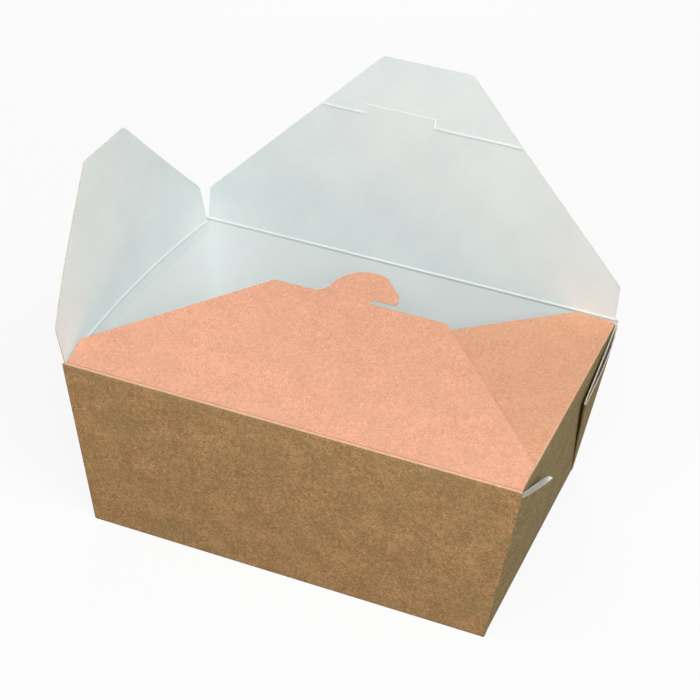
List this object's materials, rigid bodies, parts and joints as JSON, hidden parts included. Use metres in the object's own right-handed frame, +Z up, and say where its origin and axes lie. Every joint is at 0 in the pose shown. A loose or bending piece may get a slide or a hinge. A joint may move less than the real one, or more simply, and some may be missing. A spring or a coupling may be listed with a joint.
{
  "type": "takeaway box",
  "caption": "Folded kraft board food box with a tapered tray, webbed corners, a hooked tab lid flap, a slitted lid flap and short inner flaps",
  "frame": {"origin": "middle of the underside of the base, on the surface that the box stands on", "axes": "+X to the box's right along its long walls, +Y to the back, away from the front flap's crease, +Z up"},
  "size_m": [0.2365, 0.1585, 0.1925],
  "materials": {
    "kraft_board": "matte brown kraft outside, white coated inside"
  },
  "bodies": {
    "tray": {"tray": "kraft_board"},
    "front_flap": {"front_flap": "kraft_board"},
    "back_flap": {"back_flap": "kraft_board"},
    "left_flap": {"left_flap": "kraft_board"}
  },
  "joints": [
    {"name": "front_crease", "type": "hinge", "parent": "tray", "child": "front_flap", "pos_m": [0, -0.0735, 0.089], "axis": [1, 0, 0], "range_deg": [-6.4, 170]},
    {"name": "back_crease", "type": "hinge", "parent": "tray", "child": "back_flap", "pos_m": [0, 0.0735, 0.089], "axis": [-1, 0, 0], "range_deg": [-70.5, 84]},
    {"name": "left_crease", "type": "hinge", "parent": "tray", "child": "left_flap", "pos_m": [-0.10758, 0, 0.08726], "axis": [0, -1, 0], "range_deg": [-13.5, 76.5]}
  ]
}
